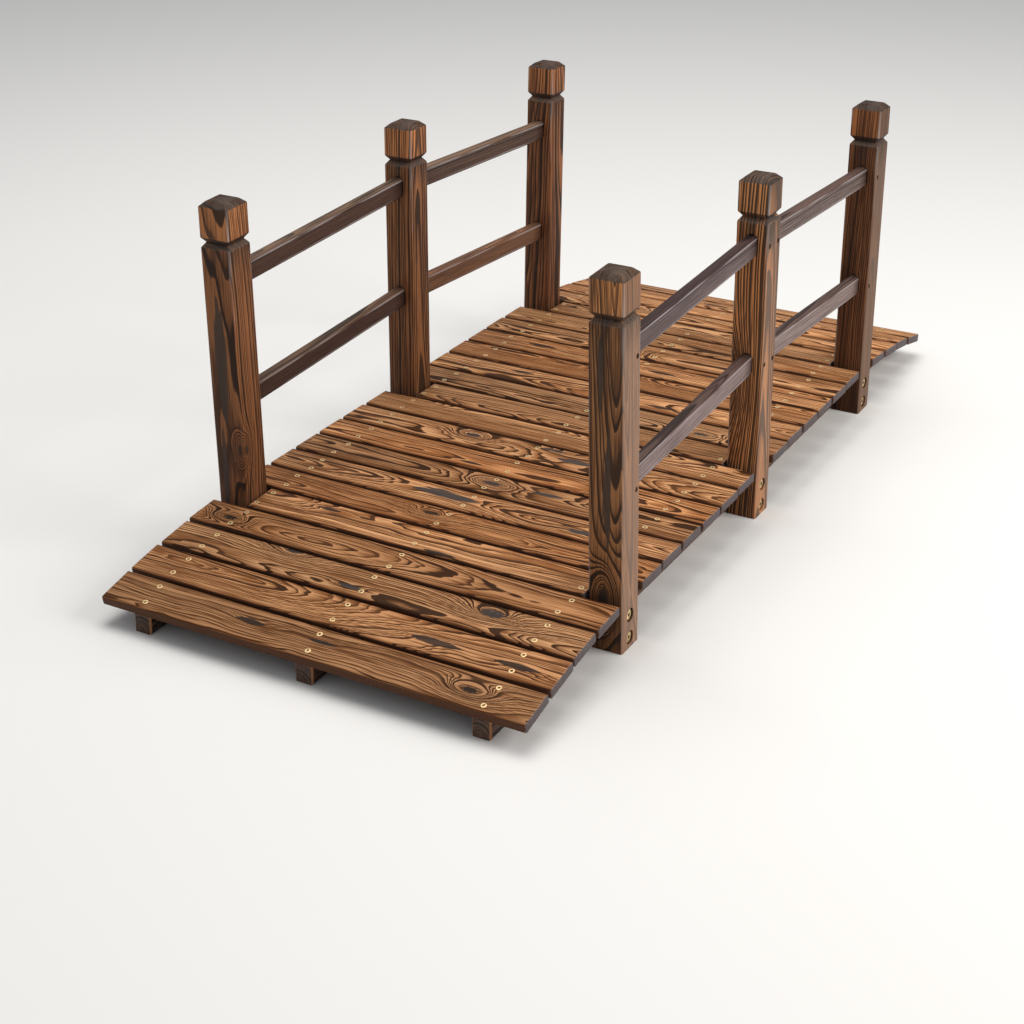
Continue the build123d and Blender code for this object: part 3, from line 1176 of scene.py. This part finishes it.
def oil_post(position, side, foot, lean):
    """One post's oiled wood: painted reflected light outside, soot and painted shade at the groove,
    painted shade below the deck, and edges rubbed pale, partly a painted highlight.
    """
    timber = usual_timber | post_timbers[position, side]
    browned, place = wood_material(
        f"post_oil_{position}_{side}",
        (foot.x, sides[side] * post_y, 0.0),
        (quarter_turn - lean, 0, -quarter_turn),
        tint(post_brown, timber["tone"]),
        shift=anywhere(),
        heart=timber["heart"],
        slope=timber["slope"],
        ring=timber["ring"],
        late_width=timber["late_width"],
        depth=timber["depth"],
        knots=timber["knots"],
        scorches=timber["scorches"],
        sway=0.45,
        scorch_stretch=11.0,
        soot=post_soot,
        gloss=post_gloss,
    )
    tree = browned.node_tree
    parts = split(tree, place)
    height = parts["Y"]
    block = ramp(tree, height, *block_edge)
    shade(browned, block, timber["block"])
    outer = ramp(tree, product(tree, parts["X"], -sides[side]), *outer_face_edge)
    # painted reflected light pales the outer face, and painted light and shade tone it
    paint_wear_and_light(browned, product(tree, outer, timber["reflected_light_share"]), painted_reflected_light)
    shade(browned, outer, timber["outer"])
    # darker below the deck on all but the outer face: painted shade of the deck, with a sootier foot
    foot_soot_and_shade_share = product(tree, ramp(tree, height, *timber["foot"]), all_but(tree, outer))
    shade(browned, foot_soot_and_shade_share, foot_soot_and_shade)
    # painted shade on the cap block's outer face
    shade(browned, product(tree, outer, block), painted_block_outer_shade)
    # pale edges, partly rubbed and partly a painted highlight
    rubbed_and_lit_arrises = product(
        tree,
        near_faces(tree, parts["X"], post_width / 2, arris_band),
        near_faces(tree, parts["Z"], post_width / 2, arris_band),
        ramp(tree, grain_noise(tree, place, rubbed_and_lit_arris_scale), *rubbed_and_lit_arris_edge),
        rubbed_and_lit_arris_share,
    )
    paint_wear_and_light(browned, rubbed_and_lit_arrises, rubbed_and_lit_arris)
    streaks = product(
        tree,
        ramp(tree, height, *streak_rise),
        all_but(tree, block),
        ramp(tree, grain_noise(tree, place, streak_scale), *streak_edge),
        groove_soot_and_shade_share,
    )
    paint_wear_and_light(browned, streaks, groove_soot_and_shade)
    # painted shade on the groove's upper slope, which faces down under the cap block
    start, end = (ramp(tree, height, *edge) for edge in (upper_slope_start, upper_slope_end))
    paint_wear_and_light(browned, product(tree, start, end, groove_soot_and_shade_share), groove_soot_and_shade)
    start, end = (ramp(tree, height, *edge) for edge in (lower_slope_start, lower_slope_end))
    paint_wear_and_light(browned, product(tree, start, end, lower_slope_share), end_grain)
    cap = ramp(tree, height, *cap_edge)
    shade(browned, cap, cap_shade)
    patches = ramp(tree, grain_noise(tree, place, cap_patch_scale), *cap_patch_edge)
    paint_wear_and_light(browned, product(tree, cap, patches), end_grain)
    return browned


post_pattern = model_post()
for side, way in sides.items():
    for position in post_rows:
        foot, lean, _ = post_place(position)
        post = copy_piece(post_pattern, f"timber_post_{position}_{side}")
        post.location = (foot.x, way * post_y, 0.0)
        post.rotation_euler = (0, lean, 0)
        apply_place(post)
        cut_post(post, position, way)
        give_material(post, oil_post(position, side, foot, lean))
        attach(post, "root")
        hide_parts(f"post_{position}_{side}")
bpy.data.objects.remove(post_pattern)


# Bolts
# Two socket-head bolts go through each post and the stringer behind it. The heads lie in
# recesses on the outside, and a washer and a nut close each bolt on the inside.

bolt_radius = 0.004
bolt_tip_bevel = 0.0008
bolt_tail = 0.003
bolt_head_radius = 0.008
bolt_head_height = 0.004
bolt_head_rounding = 0.0014
bolt_socket_radius = 0.0029
bolt_socket_depth = 0.0025
washer_radius = 0.009
washer_thickness = 0.0016
washer_bevel = 0.0003
nut_radius = 0.0075
nut_height = 0.0065
nut_corner_radius = 0.0073
nut_bevel = 0.0008
hexagon_sides = 6
fixing_smoothing = radians(35)
crown_y = bolt_seat_y + bolt_head_height
socket_bottom_y = crown_y - bolt_socket_depth
stringer_inner_y = stringer_middle_y - stringer_thickness / 2
washer_face_y = stringer_inner_y - washer_thickness
nut_face_y = washer_face_y - nut_height
bolt_tip_y = nut_face_y - bolt_tail
yellow_zinc = metal("yellow_zinc", (0.86, 0.66, 0.34, 1), 0.28, 0.0)


def bevel_inner_end(bar, face_y, width, segments):
    """Puts a bar's place into its mesh, and bevels its end nearer to the bridge's middle line."""
    apply_place(bar)
    limit = face_y + touching
    bevel_edges(bar, lambda a, b: max(abs(a.y), abs(b.y)) < limit, width, segments)
    bpy.ops.object.mode_set(mode="OBJECT")


def bevel_outer_end(bar, face_y, width, segments):
    """Puts a bar's place into its mesh, and bevels its end farther from the middle line."""
    apply_place(bar)
    limit = face_y - touching
    bevel_edges(bar, lambda a, b: min(abs(a.y), abs(b.y)) > limit, width, segments)
    bpy.ops.object.mode_set(mode="OBJECT")


def model_bolt_head(point, way):
    """A round head with a rounded crown and a six-sided socket in painted shade."""
    head = add_bar(point, way, bolt_head_radius, bolt_seat_y, crown_y)
    bevel_outer_end(head, crown_y, bolt_head_rounding, 4)
    head.data.materials.append(yellow_zinc)
    head.data.materials.append(painted_socket_shade)
    reach = (socket_bottom_y, crown_y + hole_overrun)
    carve(head, add_bar(point, way, bolt_socket_radius, *reach, hexagon_sides))
    axis = Vector((point.x, 0, point.z))
    margin = 10 * touching
    for face in head.data.polygons:
        y = abs(face.center.y)
        across = Vector((face.center.x, 0, face.center.z)) - axis
        in_socket = across.length < bolt_socket_radius and socket_bottom_y - margin < y < crown_y - margin
        face.material_index = 1 if in_socket else 0
    return head


def model_bolt(point, way):
    """A bolt with its washer and nut, across the bridge at a point."""
    shank = add_bar(point, way, bolt_radius, bolt_tip_y, bolt_seat_y, narrow_bar_sides)
    bevel_inner_end(shank, bolt_tip_y, bolt_tip_bevel, 1)
    head = model_bolt_head(point, way)
    washer = add_bar(point, way, washer_radius, washer_face_y, stringer_inner_y)
    bevel_inner_end(washer, washer_face_y, washer_bevel, 1)
    nut = add_bar(point, way, nut_radius, nut_face_y, washer_face_y, hexagon_sides)
    rounding = add_bar(point, way, nut_corner_radius, nut_face_y, washer_face_y)
    bevel_inner_end(rounding, nut_face_y, nut_bevel, 2)
    carve(nut, rounding, "INTERSECT")
    for piece in (shank, washer, nut):
        give_material(piece, yellow_zinc)
    return [shank, head, washer, nut]


for side, way in sides.items():
    fixings = []
    for position in post_rows:
        for point in bolt_points(position):
            fixings += model_bolt(point, way)
    bolts = join_pieces(fixings, f"socket_bolts_{side}")
    bpy.ops.object.shade_smooth_by_angle(angle=fixing_smoothing)
    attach(bolts, "root")
    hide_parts(f"bolts_{side}")


# Rail screws
# One small screw goes through the post's outer face into each rail end. Its head lies at the
# bottom of a plain hole and is painted near black, the painted shade of the hole, so that little
# more than a dark spot shows.

rail_screw_radius = 0.0034
rail_screw_sides = 16
rail_screw_height = 0.0020
rail_screw_rounding = 0.0007
rail_screw_crown_y = rail_screw_seat_y + rail_screw_height

for side, way in sides.items():
    heads = []
    for position in post_rows:
        for point in rail_screw_points(position, way):
            reach = (rail_screw_seat_y, rail_screw_crown_y)
            head = add_bar(point, way, rail_screw_radius, *reach, rail_screw_sides)
            # the head is painted near black: painted shade at the bottom of the hole
            give_material(head, painted_socket_shade)
            bevel_outer_end(head, rail_screw_crown_y, rail_screw_rounding, 2)
            heads.append(head)
    rail_screws = join_pieces(heads, f"rail_screws_{side}")
    bpy.ops.object.shade_smooth_by_angle(angle=fixing_smoothing)
    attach(rail_screws, "root")


# Floor, light and camera
# A plain pale floor under a soft sky, with one large lamp to the right of the bridge and one
# above it. The camera stands where the photograph was taken from.

floor_size = 60.0
floor_colour = (0.78, 0.77, 0.75, 1)
floor_roughness = 0.9
sky_colour = (0.90, 0.93, 0.97, 1)
sky_strength = 0.44
camera_place = (-2.5252, -1.2995, 1.3262)
camera_turn = (radians(69.93), 0, radians(-60.85))
film_width_mm = 36.0
lens_mm = 68.16
lens_shift = -0.207

floor = start_piece(bpy.ops.mesh.primitive_plane_add, size=floor_size, location=(0, 0, 0))
floor.name = "floor"
pale_floor, _, surface = start_material("pale_floor")
surface.inputs["Base Color"].default_value = floor_colour
surface.inputs["Roughness"].default_value = floor_roughness
give_material(floor, pale_floor)

world = bpy.data.worlds.new("studio")
world.use_nodes = True
world.node_tree.nodes["Background"].inputs["Color"].default_value = sky_colour
world.node_tree.nodes["Background"].inputs["Strength"].default_value = sky_strength
bpy.context.scene.world = world


def soft_light(name, place, target, size, power, colour):
    """A large square lamp that faces a target."""
    lamp = bpy.data.lights.new(name, "AREA")
    lamp.size = size
    lamp.energy = power
    lamp.color = colour
    holder = bpy.data.objects.new(name, lamp)
    holder.location = place
    holder.rotation_euler = (Vector(target) - Vector(place)).to_track_quat("-Z", "Y").to_euler()
    bpy.context.scene.collection.objects.link(holder)


soft_light(
    "side_light",
    place=(0.4, -3.6, 2.2),
    target=(0, 0, 0.2),
    size=2.4,
    power=118,
    colour=(1.0, 0.96, 0.92),
)
soft_light(
    "top_light",
    place=(0.3, 0.4, 3.8),
    target=(0, 0, 0),
    size=2.6,
    power=100,
    colour=(1.0, 0.98, 0.95),
)

camera_data = bpy.data.cameras.new("camera")
camera_data.sensor_width = film_width_mm
camera_data.lens = lens_mm
camera_data.shift_y = lens_shift
camera = bpy.data.objects.new("camera", camera_data)
camera.location = camera_place
camera.rotation_euler = camera_turn
bpy.context.scene.collection.objects.link(camera)
bpy.context.scene.camera = camera
bpy.context.scene.view_settings.view_transform = "Standard"
